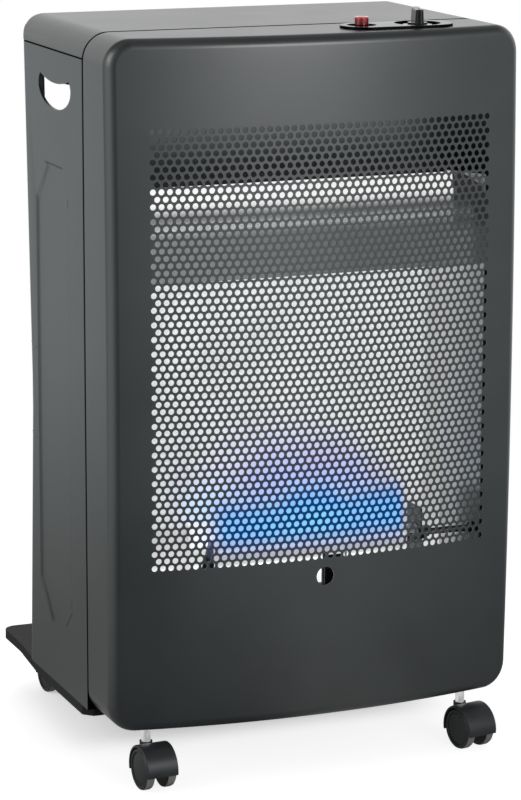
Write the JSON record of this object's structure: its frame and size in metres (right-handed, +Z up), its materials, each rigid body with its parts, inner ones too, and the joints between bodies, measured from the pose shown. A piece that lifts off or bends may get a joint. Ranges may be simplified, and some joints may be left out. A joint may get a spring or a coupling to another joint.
{
  "type": "portable gas cabinet heater",
  "caption": "Bow-fronted steel cabinet heater with a perforated front over a blue-flame burner, a bottle bay open at the rear, a push-and-turn tap, an igniter button and twin-wheel castors.",
  "frame": {"origin": "centre of the bounding box in plan, on the floor under the castors", "axes": "+Z up, front with the perforated panel towards -Y, +X to the right of someone who faces the front"},
  "size_m": [0.42, 0.3969, 0.7375],
  "materials": {
    "paint": "charcoal satin powder coat, slightly blue-green",
    "dark_paint": "dark satin powder coat",
    "aluminised": "bright aluminised sheet",
    "galvanised": "zinc coated steel",
    "brass": "turned brass",
    "chrome": "bright plated steel",
    "copper": "drawn copper",
    "ceramic": "glazed white insulator",
    "black_plastic": "moulded black plastic",
    "red_plastic": "clear red plastic",
    "silicone": "silicone sleeve"
  },
  "bodies": {
    "cabinet": {"front_panel": "paint", "guard_screen": "paint", "top_cover": "paint", "side_panel_left": "paint", "side_panel_right": "paint", "base_plate": "dark_paint", "bulkhead": "galvanised", "retaining_strip_left": "dark_paint", "retaining_strip_right": "dark_paint", "reflector_back": "aluminised", "reflector_left": "aluminised", "reflector_right": "aluminised", "deflector": "aluminised", "shroud": "dark_paint", "firebox_floor": "aluminised", "burner_tube": "aluminised", "burner_stand": "dark_paint", "mixer_tube": "galvanised", "injector": "brass", "injector_bracket": "dark_paint", "pilot_bracket": "chrome", "pilot_burner": "chrome", "spark_electrode": "ceramic", "thermocouple": "copper", "valve_shelf": "galvanised", "gas_valve": "brass", "control_plate": "black_plastic", "igniter_body": "black_plastic", "inlet_pipe": "copper", "hose_tail": "brass", "supply_pipe": "copper", "pilot_pipe": "copper", "thermocouple_lead": "copper", "ignition_lead": "silicone", "castor_stem_front_left": "chrome", "castor_stem_front_right": "chrome", "castor_stem_rear_left": "chrome", "castor_stem_rear_right": "chrome"},
    "tap_cam": {"valve_cam": "galvanised"},
    "tap_knob": {"control_knob": "black_plastic", "dial_plate": "aluminised", "valve_spindle": "brass"},
    "igniter_push": {"igniter_button": "red_plastic"},
    "fork_front_left": {"castor_hood_front_left": "black_plastic", "castor_axle_front_left": "galvanised"},
    "wheel_left_front_left": {"castor_wheel_left_front_left": "black_plastic"},
    "wheel_right_front_left": {"castor_wheel_right_front_left": "black_plastic"},
    "fork_front_right": {"castor_hood_front_right": "black_plastic", "castor_axle_front_right": "galvanised"},
    "wheel_left_front_right": {"castor_wheel_left_front_right": "black_plastic"},
    "wheel_right_front_right": {"castor_wheel_right_front_right": "black_plastic"},
    "fork_rear_left": {"castor_hood_rear_left": "black_plastic", "castor_axle_rear_left": "galvanised"},
    "wheel_left_rear_left": {"castor_wheel_left_rear_left": "black_plastic"},
    "wheel_right_rear_left": {"castor_wheel_right_rear_left": "black_plastic"},
    "fork_rear_right": {"castor_hood_rear_right": "black_plastic", "castor_axle_rear_right": "galvanised"},
    "wheel_left_rear_right": {"castor_wheel_left_rear_right": "black_plastic"},
    "wheel_right_rear_right": {"castor_wheel_right_rear_right": "black_plastic"}
  },
  "joints": [
    {"name": "knob_turn", "type": "hinge", "parent": "cabinet", "child": "tap_cam", "pos_m": [0.1113, -0.1485, 0.7105], "axis": [0, 0, 1], "range_deg": [0, 210]},
    {"name": "knob_push", "type": "slide", "parent": "tap_cam", "child": "tap_knob", "axis": [0, 0, -1], "range_m": [0, 0.003], "stiffness_N_per_m": 600, "springref_m": -0.004},
    {"name": "igniter_press", "type": "slide", "parent": "cabinet", "child": "igniter_push", "axis": [0, 0, -1], "range_m": [0, 0.007], "stiffness_N_per_m": 700, "springref_m": -0.004},
    {"name": "swivel_front_left", "type": "hinge", "parent": "cabinet", "child": "fork_front_left", "pos_m": [-0.1675, -0.151, 0.038], "axis": [0, 0, 1], "continuous": true},
    {"name": "roll_left_front_left", "type": "hinge", "parent": "fork_front_left", "child": "wheel_left_front_left", "pos_m": [-0.16624, -0.16896, 0.0203], "axis": [0.9976, 0.0698, 0], "continuous": true},
    {"name": "roll_right_front_left", "type": "hinge", "parent": "fork_front_left", "child": "wheel_right_front_left", "pos_m": [-0.16624, -0.16896, 0.0203], "axis": [0.9976, 0.0698, 0], "continuous": true},
    {"name": "swivel_front_right", "type": "hinge", "parent": "cabinet", "child": "fork_front_right", "pos_m": [0.1675, -0.151, 0.038], "axis": [0, 0, 1], "continuous": true},
    {"name": "roll_left_front_right", "type": "hinge", "parent": "fork_front_right", "child": "wheel_left_front_right", "pos_m": [0.17063, -0.16873, 0.0203], "axis": [0.9848, 0.1736, 0], "continuous": true},
    {"name": "roll_right_front_right", "type": "hinge", "parent": "fork_front_right", "child": "wheel_right_front_right", "pos_m": [0.17063, -0.16873, 0.0203], "axis": [0.9848, 0.1736, 0], "continuous": true},
    {"name": "swivel_rear_left", "type": "hinge", "parent": "cabinet", "child": "fork_rear_left", "pos_m": [-0.157, 0.1735, 0.038], "axis": [0, 0, 1], "continuous": true},
    {"name": "roll_left_rear_left", "type": "hinge", "parent": "fork_rear_left", "child": "wheel_left_rear_left", "pos_m": [-0.15574, 0.15554, 0.0203], "axis": [0.9976, 0.0698, 0], "continuous": true},
    {"name": "roll_right_rear_left", "type": "hinge", "parent": "fork_rear_left", "child": "wheel_right_rear_left", "pos_m": [-0.15574, 0.15554, 0.0203], "axis": [0.9976, 0.0698, 0], "continuous": true},
    {"name": "swivel_rear_right", "type": "hinge", "parent": "cabinet", "child": "fork_rear_right", "pos_m": [0.157, 0.1735, 0.038], "axis": [0, 0, 1], "continuous": true},
    {"name": "roll_left_rear_right", "type": "hinge", "parent": "fork_rear_right", "child": "wheel_left_rear_right", "pos_m": [0.15826, 0.15554, 0.0203], "axis": [0.9976, 0.0698, 0], "continuous": true},
    {"name": "roll_right_rear_right", "type": "hinge", "parent": "fork_rear_right", "child": "wheel_right_rear_right", "pos_m": [0.15826, 0.15554, 0.0203], "axis": [0.9976, 0.0698, 0], "continuous": true}
  ]
}
